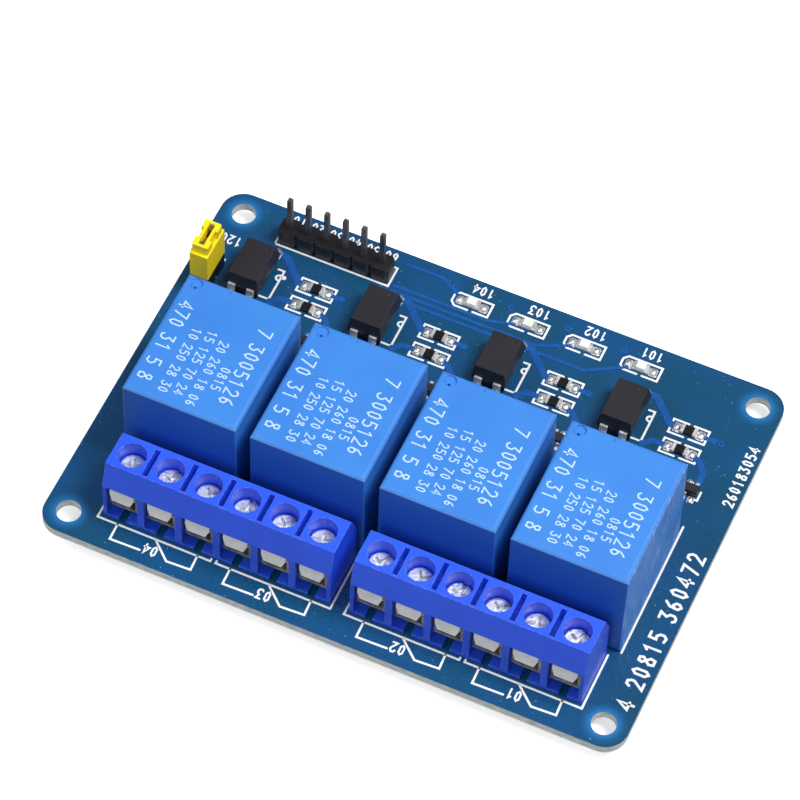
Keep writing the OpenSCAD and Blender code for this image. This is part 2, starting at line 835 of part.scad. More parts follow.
module jumper_cap() {
    corner = grip_side;
    cap_h = cap_body_h + cap_grip_h;
    color("#f2e23a")
    translate([jumper_x, cap_y, board_z + strip_h])
    difference() {
        union() {
            round_slab(cap_w, cap_l, corner, cap_body_h);
            round_slab(cap_w - 2 * grip_side, cap_l - 2 * grip_end, 2 * corner, cap_h);
        }
        translate([0, 0, -cap_h])
            block(cap_w - 2 * cap_wall, cap_l - 2 * cap_wall, cap_h + cap_body_h);
        block(slot_w, slot_l, 2 * cap_h);
        for (s = sides)
            translate([s * (cap_w / 2 - grip_side), 0, cap_body_h])
                block(2 * notch_depth, notch_l, cap_h);
    }
}

// Sprung brass clip in the cap: two long leaves joined by a bridge between the pins
module jumper_clip() {
    color("#c98a3c")
    translate([jumper_x, cap_y, board_z + strip_h]) {
        for (s = sides)
            translate([s * (leaf_x + cap_clip_t / 2), 0, cap_clip_up])
                block(cap_clip_t, cap_clip_l, cap_body_h - cap_clip_up);
        translate([0, 0, cap_body_h - cap_clip_t]) block(2 * leaf_x + eps, bridge_l, cap_clip_t);
    }
}

// ---- Solder ----

// Fillet of solder under the board, closed on a lead of section w by d
module solder_cone(w, d, reach) {
    difference() {
        translate([0, 0, lead_drop - solder_h])
            rotate_extrude($fn = 24)
                polygon([
                    [0, 0], [reach * 0.62, 0], [reach * 0.7, solder_h * 0.45],
                    [reach, solder_h * 0.85], [reach, solder_h], [0, solder_h]
                ]);
        translate([0, 0, -lead_drop]) block(w, d, 3 * lead_drop);
    }
}

module solder_joints() {
    color("#cfd0d2") {
        for (i = relay_set, p = relay_pin_spots)
            translate([relay_x(i) + p[0], relay_y + p[1], 0])
                solder_cone(relay_pin_w, relay_pin_t, solder_relay_r);
        for (k = screw_set)
            translate([way_x(k), way_y, 0]) solder_cone(clip_pin_w, clip_pin_w, solder_terminal_r);
        translate([0, 0, ground]) {
            at_control_pins() solder_cone(pin_w, pin_w, solder_header_r);
            at_jumper_pins() solder_cone(pin_w, pin_w, solder_header_r);
        }
    }
}

// ---- Nodes ----

pcb();
for (i = relay_set) {
    relay_case(i);
    relay_base(i);
    relay_pins(i);
    opto_body(i);
    opto_leads(i);
}
for (row = [0, 1]) {
    terminal_housing(row);
    terminal_clips(row);
    wire_guards(row);
}
for (k = screw_set)
    terminal_screw(k);
transistor_bodies();
transistor_leads();
diode_bodies();
diode_leads();
resistor_bodies();
resistor_caps();
led_bases();
led_lenses();
led_caps();
control_strip();
control_pins_row();
jumper_strip();
jumper_pins_row();
jumper_cap();
jumper_clip();
solder_joints();
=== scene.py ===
"""Dresses the relay module board: prints, copper, solder, finishes, lamps and camera."""

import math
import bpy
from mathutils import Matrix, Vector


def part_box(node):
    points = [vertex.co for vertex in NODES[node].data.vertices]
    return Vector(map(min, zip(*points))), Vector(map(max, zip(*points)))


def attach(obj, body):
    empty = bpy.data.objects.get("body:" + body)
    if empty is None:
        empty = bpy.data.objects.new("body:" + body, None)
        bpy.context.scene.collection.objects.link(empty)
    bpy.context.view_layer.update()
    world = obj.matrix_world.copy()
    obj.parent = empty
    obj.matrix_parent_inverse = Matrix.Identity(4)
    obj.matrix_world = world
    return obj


bl_info = {
    "name": "Relay Module Board",
    "version": (1, 0, 0),
    "blender": (4, 5, 0),
    "location": "View3D > Sidebar > Relay Board",
    "description": "Adds the prints, copper, solder and finishes of a relay module board",
    "category": "Object",
}

import bmesh
import bpy
from mathutils import Matrix, Vector

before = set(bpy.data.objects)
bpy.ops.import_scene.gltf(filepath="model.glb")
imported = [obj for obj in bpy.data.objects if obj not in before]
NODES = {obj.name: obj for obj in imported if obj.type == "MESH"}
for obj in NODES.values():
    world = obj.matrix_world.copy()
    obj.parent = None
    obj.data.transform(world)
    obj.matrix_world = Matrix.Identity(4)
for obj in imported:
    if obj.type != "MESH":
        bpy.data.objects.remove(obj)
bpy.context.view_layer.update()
MM = 0.001


def box_mm(node):
    """Low and high corner of a CAD node in millimetres."""
    low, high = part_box(node)
    return low / MM, high / MM


BOARD_LOW, BOARD_HIGH = box_mm("pcb")
BOARD_TOP = BOARD_HIGH.z
BOARD_UNDER = BOARD_LOW.z
WAYS = [(box_mm(f"terminal_screw_{k}")[0] + box_mm(f"terminal_screw_{k}")[1]) / 2 for k in range(1, 13)]
RELAYS = [box_mm(f"relay_case_{i}") for i in range(1, 5)]
OPTOS = [box_mm(f"opto_body_{i}") for i in range(1, 5)]

# Small parts on the board, in millimetres about its centre
RESISTOR_AHEAD = 8.15
TRANSISTOR_AHEAD = 2.95
DIODE_BEHIND = 3.46
OPTO_Y = 16.3
RESISTOR_YS = (17.725, 14.675)
DRIVER_Y = 9.7
LED_Y = 24.0
LED_XS = (-3.21, 4.41, 12.03, 19.65)
SCREW_Y = -19.9
PIN_X, PIN_Y, PIN_PITCH = -28.05, 23.6, 2.54
JUMPER_X, JUMPER_YS = -35.05, (15.45, 12.91)


def lanes():
    """Middles along X of each lane's optocoupler, resistors, transistor and diode."""
    for low, high in OPTOS:
        opto = (low.x + high.x) / 2
        resistor = opto + RESISTOR_AHEAD
        yield opto, resistor, resistor + TRANSISTOR_AHEAD, resistor - DIODE_BEHIND


# ---- Colour and node helpers ----


def linear(code, alpha=1.0):
    """An sRGB hex colour as linear RGBA."""
    values = [int(code[i : i + 2], 16) / 255 for i in (1, 3, 5)]
    return [v / 12.92 if v <= 0.04045 else ((v + 0.055) / 1.055) ** 2.4 for v in values] + [alpha]


def add(tree, kind, links=None, values=None, **settings):
    """Adds a node, sets its settings and socket values, and links its inputs."""
    node = tree.nodes.new(kind)
    for key, value in settings.items():
        setattr(node, key, value)
    for key, value in (values or {}).items():
        node.inputs[key].default_value = value
    for key, socket in (links or {}).items():
        tree.links.new(socket, node.inputs[key])
    return node


def start(name):
    """A new material with an empty tree, its shader and its output."""
    material = bpy.data.materials.new(name)
    material.use_nodes = True
    tree = material.node_tree
    tree.nodes.clear()
    shader = add(tree, "ShaderNodeBsdfPrincipled")
    add(tree, "ShaderNodeOutputMaterial", {"Surface": shader.outputs[0]})
    return material, tree, shader


def place(tree, scale):
    """Object coordinates in metres, times scale."""
    where = add(tree, "ShaderNodeTexCoord")
    node = add(tree, "ShaderNodeMapping", {"Vector": where.outputs["Object"]}, {"Scale": [scale] * 3})
    return node.outputs[0]


def grain(tree, size_mm, detail=3.0, roughness=0.5, vector=None):
    """Noise whose features are about size_mm across."""
    vector = vector or place(tree, 1 / (size_mm * MM))
    values = {"Scale": 1.0, "Detail": detail, "Roughness": roughness}
    return add(tree, "ShaderNodeTexNoise", {"Vector": vector}, values).outputs["Fac"]


def spread(tree, value, low, high, out_low=0.0, out_high=1.0):
    """Maps value from low..high to out_low..out_high, clamped."""
    return add(
        tree,
        "ShaderNodeMapRange",
        {"Value": value},
        {"From Min": low, "From Max": high, "To Min": out_low, "To Max": out_high},
    ).outputs[0]


def mix(tree, factor, a, b):
    """Colour a to colour b by factor; a and b are sockets or linear colours."""
    node = add(tree, "ShaderNodeMix", data_type="RGBA")
    for socket, value in ((node.inputs[0], factor), (node.inputs[6], a), (node.inputs[7], b)):
        if hasattr(value, "is_linked"):
            tree.links.new(value, socket)
        else:
            socket.default_value = value
    return node.outputs[2]


def combine(tree, operation, a, b):
    """Arithmetic on two numbers; a and b are sockets or numbers."""
    node = add(tree, "ShaderNodeMath", operation=operation)
    for socket, value in ((node.inputs[0], a), (node.inputs[1], b)):
        if hasattr(value, "is_linked"):
            tree.links.new(value, socket)
        else:
            socket.default_value = value
    return node.outputs[0]


def relief(tree, shader, height, depth_mm, radius_mm=0.0):
    """Bump from a height map, over edges rounded by radius_mm."""
    links = {"Height": height}
    if radius_mm:
        rounded = add(tree, "ShaderNodeBevel", values={"Radius": radius_mm * MM}, samples=4)
        links["Normal"] = rounded.outputs[0]
    bump = add(tree, "ShaderNodeBump", links, {"Strength": 1.0, "Distance": depth_mm * MM})
    tree.links.new(bump.outputs[0], shader.inputs["Normal"])


def edge_highlight_and_wear_mask(tree, radius_mm, low=0.02, high=0.3):
    """1 near a node's outer edges and 0 on its flats; it places the painted edge highlight mixed with wear.
    """
    soft = add(tree, "ShaderNodeBevel", values={"Radius": radius_mm * MM}, samples=4).outputs[0]
    flat = add(tree, "ShaderNodeNewGeometry").outputs["Normal"]
    dot = add(tree, "ShaderNodeVectorMath", {0: soft, 1: flat}, operation="DOT_PRODUCT").outputs["Value"]
    return spread(tree, dot, 1 - low, 1 - high)


# ---- Materials ----


def solder_mask(props, sizes):
    """Glass-fibre laminate under glossy blue solder mask: deep teal blue with fine mottling, pale dust
    specks, a brighter ring round each fixing hole and pale fibre at the cut edge."""
    material, tree, shader = start("solder_mask_on_laminate")
    blotch = spread(tree, grain(tree, 9.0, 2.0), 0.35, 0.65)
    tone = mix(tree, blotch, props.mask_dark[:], props.mask[:])
    fine = spread(tree, grain(tree, 0.5, 4.0, 0.6), 0.3, 0.7)
    tone = mix(tree, combine(tree, "MULTIPLY", fine, 0.1), tone, props.mask_light[:])
    # Hole rings: distance from the nearest fixing hole, 3.15 mm in from the edges
    where = add(tree, "ShaderNodeTexCoord").outputs["Object"]
    axes = add(tree, "ShaderNodeSeparateXYZ", {"Vector": where}).outputs
    hole_x = (BOARD_HIGH.x - sizes.hole_inset) * MM
    hole_y = (BOARD_HIGH.y - sizes.hole_inset) * MM
    dx = combine(tree, "SUBTRACT", combine(tree, "ABSOLUTE", axes[0], 0), hole_x)
    dy = combine(tree, "SUBTRACT", combine(tree, "ABSOLUTE", axes[1], 0), hole_y)
    away = add(tree, "ShaderNodeVectorMath", operation="LENGTH")
    flat = add(tree, "ShaderNodeCombineXYZ", {"X": dx, "Y": dy})
    tree.links.new(flat.outputs[0], away.inputs[0])
    ring = spread(tree, away.outputs["Value"], 1.7 * MM, 3.1 * MM, 1.0, 0.0)
    ring = combine(tree, "POWER", ring, 2.0)
    tone = mix(tree, combine(tree, "MULTIPLY", ring, 0.8), tone, props.mask_ring[:])
    dust = spread(tree, grain(tree, 0.33, 1.0), 0.765, 0.80)
    tone = mix(tree, combine(tree, "MULTIPLY", dust, 0.7), tone, linear("#9fc4d8"))
    # Cut edge: the walls show the laminate, with its glass plies lying flat
    normal = add(tree, "ShaderNodeNewGeometry").outputs["True Normal"]
    side = add(tree, "ShaderNodeSeparateXYZ", {"Vector": normal})
    upright = spread(tree, combine(tree, "ABSOLUTE", side.outputs[2], 0), 0.5, 0.6, 1.0, 0.0)
    ply = add(tree, "ShaderNodeMapping", {"Vector": where}, {"Scale": (900, 900, 7000)}).outputs[0]
    plies = spread(tree, grain(tree, 1, 2.0, 0.5, ply), 0.35, 0.65)
    fibre = mix(tree, plies, linear("#b9c2bd"), linear("#f4f4ee"))
    tree.links.new(mix(tree, upright, tone, fibre), shader.inputs["Base Color"])
    gloss = combine(tree, "ADD", combine(tree, "MULTIPLY", fine, 0.04), 0.26)
    gloss = combine(tree, "MAXIMUM", gloss, combine(tree, "MULTIPLY", upright, 0.75))
    tree.links.new(gloss, shader.inputs["Roughness"])
    shader.inputs["IOR"].default_value = 1.5
    relief(tree, shader, combine(tree, "ADD", combine(tree, "MULTIPLY", fine, 0.3), dust), 0.012)
    return material


def covered_copper(props):
    """Copper track under solder mask: the same gloss as the board, brighter blue."""
    material, tree, shader = start("solder_mask_on_copper")
    fine = spread(tree, grain(tree, 0.6, 3.0), 0.3, 0.7)
    tree.links.new(mix(tree, fine, props.track[:], props.track_light[:]), shader.inputs["Base Color"])
    shader.inputs["Roughness"].default_value = 0.25
    relief(tree, shader, fine, 0.01)
    return material


def screen_print(name, base, rough=0.6):
    """Screen-printed ink: flat, slightly uneven and dull beside the gloss it lies on."""
    material, tree, shader = start(name)
    uneven = spread(tree, grain(tree, 0.25, 4.0, 0.65), 0.3, 0.75)
    dull = [c * 0.8 for c in base[:3]] + [1.0]
    tree.links.new(mix(tree, uneven, dull, base), shader.inputs["Base Color"])
    shader.inputs["Roughness"].default_value = rough
    relief(tree, shader, uneven, 0.008)
    return material


def moulded_plastic(
    name, base, dark, rough, grain_mm, edge_mm, edge_highlight_and_wear_colour, edge_gain=0.5, flow_mm=6.0, bump=0.008
):
    """Injection-moulded plastic: fine sparked grain, slow flow tone, and edges painted pale as a painted edge
    highlight mixed with wear from rubbing.
    """
    material, tree, shader = start(name)
    flow = spread(tree, grain(tree, flow_mm, 2.0), 0.3, 0.7)
    fine = spread(tree, grain(tree, grain_mm, 4.0, 0.6), 0.25, 0.75)
    tone = mix(tree, combine(tree, "MULTIPLY", flow, 0.6), base, dark)
    # Painted highlight: a pale colour along the edges stands in for the light line on rounded edges, broken
    # up by noise like wear
    edge = edge_highlight_and_wear_mask(tree, edge_mm)
    broken = spread(tree, grain(tree, 0.45, 3.0, 0.7), 0.45, 0.62)
    edge = combine(tree, "MULTIPLY", combine(tree, "MULTIPLY", edge, broken), edge_gain)
    tree.links.new(mix(tree, edge, tone, edge_highlight_and_wear_colour), shader.inputs["Base Color"])
    gloss = combine(tree, "ADD", combine(tree, "MULTIPLY", fine, 0.14), rough - 0.07)
    tree.links.new(gloss, shader.inputs["Roughness"])
    shader.inputs["IOR"].default_value = 1.53
    relief(tree, shader, fine, bump, edge_mm * 0.8)
    return material


def bright_metal(name, code, shade, rough, scratch_mm, bump, edge_mm=0.05, metallic=1.0):
    """Plated or tinned metal: bright, with crossing scratches and small dents that break the shine."""
    material, tree, shader = start(name)
    streak = add(
        tree, "ShaderNodeMapping", {"Vector": place(tree, 1 / (scratch_mm * MM))}, {"Scale": (1, 3.2, 1)}
    ).outputs[0]
    lines = spread(tree, grain(tree, 1, 4.0, 0.6, streak), 0.3, 0.7)
    dents = spread(tree, grain(tree, scratch_mm * 1.6, 3.0, 0.55), 0.3, 0.7)
    tree.links.new(mix(tree, dents, linear(shade), linear(code)), shader.inputs["Base Color"])
    gloss = combine(tree, "ADD", combine(tree, "MULTIPLY", lines, 0.2), rough - 0.1)
    tree.links.new(gloss, shader.inputs["Roughness"])
    shader.inputs["Metallic"].default_value = metallic
    relief(tree, shader, combine(tree, "ADD", lines, combine(tree, "MULTIPLY", dents, 2.0)), bump, edge_mm)
    return material


def relay_plastic(props):
    """Moulded blue polyester relay case: satin, with pale flecks, edges flecked pale as a painted highlight
    mixed with wear, scuffs on its end face, a painted highlight along the top of each wall and painted shade
    on the walls that do not face right.
    """
    material = moulded_plastic(
        "moulded_polyester_blue", props.relay[:], props.relay_deep[:], 0.42, 0.12, 0.12,
        linear("#b7d4f7"), 0.45, 8.0, 0.003,
    )
    tree = material.node_tree
    shader = next(n for n in tree.nodes if n.type == "BSDF_PRINCIPLED")
    tone = shader.inputs["Base Color"].links[0].from_socket
    geometry = add(tree, "ShaderNodeNewGeometry")
    facing = add(tree, "ShaderNodeSeparateXYZ", {"Vector": geometry.outputs["True Normal"]}).outputs[0]
    where = add(tree, "ShaderNodeTexCoord").outputs["Object"]
    at = add(tree, "ShaderNodeSeparateXYZ", {"Vector": where}).outputs
    last = spread(tree, at[0], (RELAYS[3][1].x - 1.0) * MM, (RELAYS[3][1].x - 0.8) * MM)
    last = combine(tree, "MULTIPLY", last, spread(tree, facing, 0.5, 0.8))
    long_streak = add(
        tree, "ShaderNodeMapping", {"Vector": place(tree, 1)}, {"Scale": (900, 2200, 260)}
    ).outputs[0]
    scuff = spread(tree, grain(tree, 1, 5.0, 0.7, long_streak), 0.5, 0.72)
    cloud = spread(tree, grain(tree, 5.0, 2.0), 0.35, 0.6)
    amount = combine(tree, "MULTIPLY", combine(tree, "MULTIPLY", scuff, cloud), last)
    amount = combine(tree, "MULTIPLY", amount, 0.5)
    # Painted light: a lighter band along the top 0.4 mm of each wall is a painted highlight, and the walls
    # below it, except those facing right, are darkened as painted shade
    up = add(tree, "ShaderNodeSeparateXYZ", {"Vector": geometry.outputs["True Normal"]}).outputs[2]
    wall = spread(tree, up, 0.5, 0.6, 1.0, 0.0)
    rim = combine(tree, "SUBTRACT", RELAYS[0][1].z * MM, at[2])
    step = combine(tree, "MULTIPLY", wall, spread(tree, rim, 0.42 * MM, 0.36 * MM))
    shade = combine(tree, "MULTIPLY", wall, spread(tree, rim, 0.34 * MM, 0.44 * MM))
    shade = combine(tree, "MULTIPLY", shade, spread(tree, facing, 0.6, 0.5))
    tone = mix(tree, combine(tree, "MULTIPLY", shade, 0.75), tone, linear("#1a4fa8"))
    tone = mix(tree, combine(tree, "MULTIPLY", step, 0.35), tone, linear("#7db2f2"))
    fleck = spread(tree, grain(tree, 0.3, 2.0), 0.76, 0.8)
    amount = combine(tree, "MAXIMUM", amount, combine(tree, "MULTIPLY", fleck, 0.35))
    tree.links.new(mix(tree, amount, tone, linear("#dbe7f7")), shader.inputs["Base Color"])
    return material


def milky_resin(props):
    """Cast epoxy over a chip LED: cloudy white with a slight green cast, wet-looking."""
    material, tree, shader = start("cast_epoxy_milky")
    cloud = spread(tree, grain(tree, 0.7, 3.0), 0.3, 0.7)
    tree.links.new(mix(tree, cloud, props.lens[:], linear("#ffffff")), shader.inputs["Base Color"])
    shader.inputs["Roughness"].default_value = 0.12
    shader.inputs["IOR"].default_value = 1.52
    shader.inputs["Subsurface Weight"].default_value = 0.4
    shader.inputs["Subsurface Radius"].default_value = (0.0008, 0.0008, 0.0006)
    relief(tree, shader, cloud, 0.01, 0.06)
    return material


# ---- Mesh helpers, in millimetres ----

ARC_STEPS = 5
LAYER = 0.003


def piece(name, bm, material, body="board"):
    """Turns a mesh in millimetres into a piece that rides on a body."""
    bmesh.ops.recalc_face_normals(bm, faces=bm.faces)
    bmesh.ops.scale(bm, vec=(MM, MM, MM), verts=bm.verts)
    mesh = bpy.data.meshes.new(name)
    bm.to_mesh(mesh)
    bm.free()
    mesh.materials.append(material)
    made = bpy.data.objects.new(name, mesh)
    bpy.context.scene.collection.objects.link(made)
    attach(made, body)
    return made


def plate(bm, outline, z0, z1, shoulder=0.0):
    """A flat plate over an outline of XY points, from z0 to z1, with its top edge stepped in by shoulder."""
    middle = sum((Vector(p) for p in outline), Vector((0, 0))) / len(outline)
    rings = [[bm.verts.new((*p, z0)) for p in outline]]
    if shoulder:
        rings.append([bm.verts.new((*p, z1 - (z1 - z0) * 0.3)) for p in outline])
        inner = [Vector(p) + (middle - Vector(p)).normalized() * shoulder for p in outline]
        rings.append([bm.verts.new((*p, z1)) for p in inner])
    else:
        rings.append([bm.verts.new((*p, z1)) for p in outline])
    for low, high in zip(rings, rings[1:]):
        for i in range(len(low)):
            j = (i + 1) % len(low)
            bm.faces.new((low[i], low[j], high[j], high[i]))
    bm.faces.new(rings[-1])
    bm.faces.new(rings[0][::-1])


def disc(cx, cy, r, n=16, r2=None):
    """Points of a circle, or of an ellipse with radii r and r2."""
    r2 = r2 or r
    turns = [2 * math.pi * i / n for i in range(n)]
    return [(cx + r * math.cos(turn), cy + r2 * math.sin(turn)) for turn in turns]


def cut_corners(x, y, width, depth, cut):
    """Points of a rectangle about (x, y) with its corners cut off."""
    a, b = width / 2, depth / 2
    signs = ((-1, -1, 0), (1, -1, 0), (1, -1, 1), (1, 1, 1), (1, 1, 0), (-1, 1, 0), (-1, 1, 1), (-1, -1, 1))
    return [
        (x + sx * (a - (0 if upright else cut)), y + sy * (b - (cut if upright else 0)))
        for sx, sy, upright in signs
    ]


def end_arc(at, other, half):
    """Points of the round end of a line that comes from other and stops at at."""
    along = (at - other).normalized()
    turn = math.atan2(along.y, along.x) - math.pi / 2
    turns = [turn + math.pi * k / ARC_STEPS for k in range(1, ARC_STEPS)]
    return [at + half * Vector((math.cos(angle), math.sin(angle))) for angle in turns]


def stroke(bm, points, width, z0, z1, closed=False):
    """A printed or etched line of constant width along points, mitred at its corners, round at its ends."""
    pts = [Vector(p) for p in points]
    n = len(pts)
    half = width / 2
    left, right = [], []
    for i, p in enumerate(pts):
        before = (p - pts[i - 1]).normalized() if (i > 0 or closed) else None
        after = (pts[(i + 1) % n] - p).normalized() if (i < n - 1 or closed) else None
        along = (before or after) if not (before and after) else (before + after)
        along = along.normalized() if along.length > 1e-6 else before
        normal = Vector((-along.y, along.x))
        ref = before or after
        miter = 1 / max(0.5, normal.dot(Vector((-ref.y, ref.x))))
        left.append(p + normal * half * miter)
        right.append(p - normal * half * miter)
    if closed:
        rails = [[bm.verts.new((*q, z)) for q in side] for side in (left, right) for z in (z0, z1)]
        l0, l1, r0, r1 = rails
        for i in range(n):
            j = (i + 1) % n
            bm.faces.new((l1[i], l1[j], r1[j], r1[i]))
            bm.faces.new((l0[i], l0[j], l1[j], l1[i]))
            bm.faces.new((r0[i], r1[i], r1[j], r0[j]))
        return
    # Quads along the line keep concave lines clean
    m = len(pts)
    low_r = [bm.verts.new((*q, z0)) for q in right]
    low_l = [bm.verts.new((*q, z0)) for q in left]
    top_r = [bm.verts.new((*q, z1)) for q in right]
    top_l = [bm.verts.new((*q, z1)) for q in left]
    for i in range(m - 1):
        bm.faces.new((top_r[i], top_r[i + 1], top_l[i + 1], top_l[i]))
        bm.faces.new((low_r[i], low_r[i + 1], top_r[i + 1], top_r[i]))
        bm.faces.new((low_l[i + 1], low_l[i], top_l[i], top_l[i + 1]))
    for at, other, tr, tl, lr, ll in (
        (pts[-1], pts[-2], top_r[-1], top_l[-1], low_r[-1], low_l[-1]),
        (pts[0], pts[1], top_l[0], top_r[0], low_l[0], low_r[0]),
    ):
        arc = end_arc(at, other, half)
        top = [tr] + [bm.verts.new((*q, z1)) for q in arc] + [tl]
        low = [lr] + [bm.verts.new((*q, z0)) for q in arc] + [ll]
        bm.faces.new(top)
        for i in range(ARC_STEPS):
            bm.faces.new((low[i], low[i + 1], top[i + 1], top[i]))


# Stroke paths of plain digits on a cell 0.6 wide and 1 high; a path that ends where it starts is a loop
DIGITS = {
    "0": [[(0.12, 0.2), (0.12, 0.8), (0.3, 1), (0.48, 0.8), (0.48, 0.2), (0.3, 0), (0.12, 0.2)]],
    "1": [[(0.14, 0.8), (0.32, 1), (0.32, 0)]],
    "2": [[(0.08, 0.8), (0.2, 1), (0.4, 1), (0.52, 0.8), (0.52, 0.62), (0.08, 0), (0.54, 0)]],
    "3": [[(0.08, 1), (0.5, 1), (0.3, 0.6), (0.5, 0.42), (0.5, 0.16), (0.36, 0), (0.16, 0), (0.06, 0.14)]],
    "4": [[(0.42, 0), (0.42, 1), (0.04, 0.3), (0.56, 0.3)]],
    "5": [[(0.5, 1), (0.12, 1), (0.1, 0.56), (0.34, 0.6), (0.52, 0.42), (0.52, 0.18), (0.36, 0),
           (0.08, 0.06)]],
    "6": [[(0.3, 0.52), (0.12, 0.38), (0.12, 0.16), (0.3, 0), (0.48, 0.16), (0.48, 0.38), (0.3, 0.52)],
          [(0.12, 0.3), (0.16, 0.7), (0.42, 1)]],
    "7": [[(0.06, 1), (0.54, 1), (0.22, 0)]],
    "8": [[(0.3, 0.54), (0.12, 0.74), (0.18, 0.96), (0.42, 0.96), (0.48, 0.74), (0.3, 0.54)],
          [(0.3, 0.54), (0.08, 0.3), (0.14, 0.02), (0.46, 0.02), (0.52, 0.3), (0.3, 0.54)]],
    "9": [[(0.3, 0.48), (0.12, 0.62), (0.12, 0.84), (0.3, 1), (0.48, 0.84), (0.48, 0.62), (0.3, 0.48)],
          [(0.48, 0.7), (0.44, 0.3), (0.18, 0)]],
}


def numbers(bm, text, x, y, height, turn, width, z0, z1, pitch=0.78):
    """Plain digits from (x, y), with their baseline turned by turn degrees."""
    a = math.radians(turn)
    along, up = Vector((math.cos(a), math.sin(a))), Vector((-math.sin(a), math.cos(a)))
    at = Vector((x, y))
    for sign in text:
        for layer, path in enumerate(DIGITS.get(sign, [])):
            line = [at + (along * px + up * py) * height for px, py in path]
            loop = path[0] == path[-1]
            stroke(bm, line[:-1] if loop else line, width, z0, z1 + layer * LAYER, closed=loop)
        at += along * height * (pitch if sign != " " else pitch * 0.7)


# ---- Settings ----


def colour(name, text, code):
    """A colour setting."""
    return bpy.props.FloatVectorProperty(
        name=name, description=text, subtype="COLOR", size=4, min=0, max=1, default=linear(code)
    )


def length(name, text, value):
    """A length setting in millimetres."""
    return bpy.props.FloatProperty(name=name, description=text, default=value, min=0.001, precision=3)


class RelayBoardColours(bpy.types.PropertyGroup):
    """Colours of the finishes."""

    mask: colour("Mask", "Solder mask over bare laminate", "#0d4b7c")
    mask_dark: colour("Mask, dark", "Darker blotches of the solder mask", "#0a4768")
    mask_light: colour("Mask, light", "Fine light mottling of the solder mask", "#165a8c")
    mask_ring: colour("Hole ring", "Glow round each fixing hole", "#2475b8")
    track: colour("Track", "Mask over copper", "#13509a")
    track_light: colour("Track, light", "Light mottling over copper", "#1a5ba8")
    ink: colour("Ink", "Board print", "#ffffff")
    relay: colour("Relay", "Relay cases", "#3c86dc")
    relay_deep: colour("Relay, deep", "Darker flow tone of the relay cases", "#3176cf")
    relay_ink: colour("Relay ink", "Print on the relays", "#c4e2ff")
    terminal: colour("Terminal", "Terminal housings", "#2c5cf0")
    terminal_deep: colour("Terminal, deep", "Darker flow tone of the housings", "#2450dc")
    jumper: colour("Jumper", "Jumper cap", "#ffe81e")
    lens: colour("Lens", "LED resin", "#dfe9dc")


class RelayBoardSizes(bpy.types.PropertyGroup):
    """Sizes of the prints and the copper, in millimetres."""

    hole_inset: length("Hole inset", "Fixing holes, in from the board's edges", 3.15)
    ink_height: length("Ink height", "Thickness of the printed ink", 0.03)
    ink_line: length("Ink line", "Width of a printed line", 0.27)
    track_height: length("Track height", "Rise of a track under the mask", 0.035)
    track_wide: length("Wide track", "Width of the short power tracks", 0.95)
    track_thin: length("Thin track", "Width of the signal tracks", 0.42)
    pad_height: length("Pad height", "Rise of a tinned pad", 0.05)
    digit: length("Digit", "Height of the board's digits", 1.25)


# ---- Operators ----


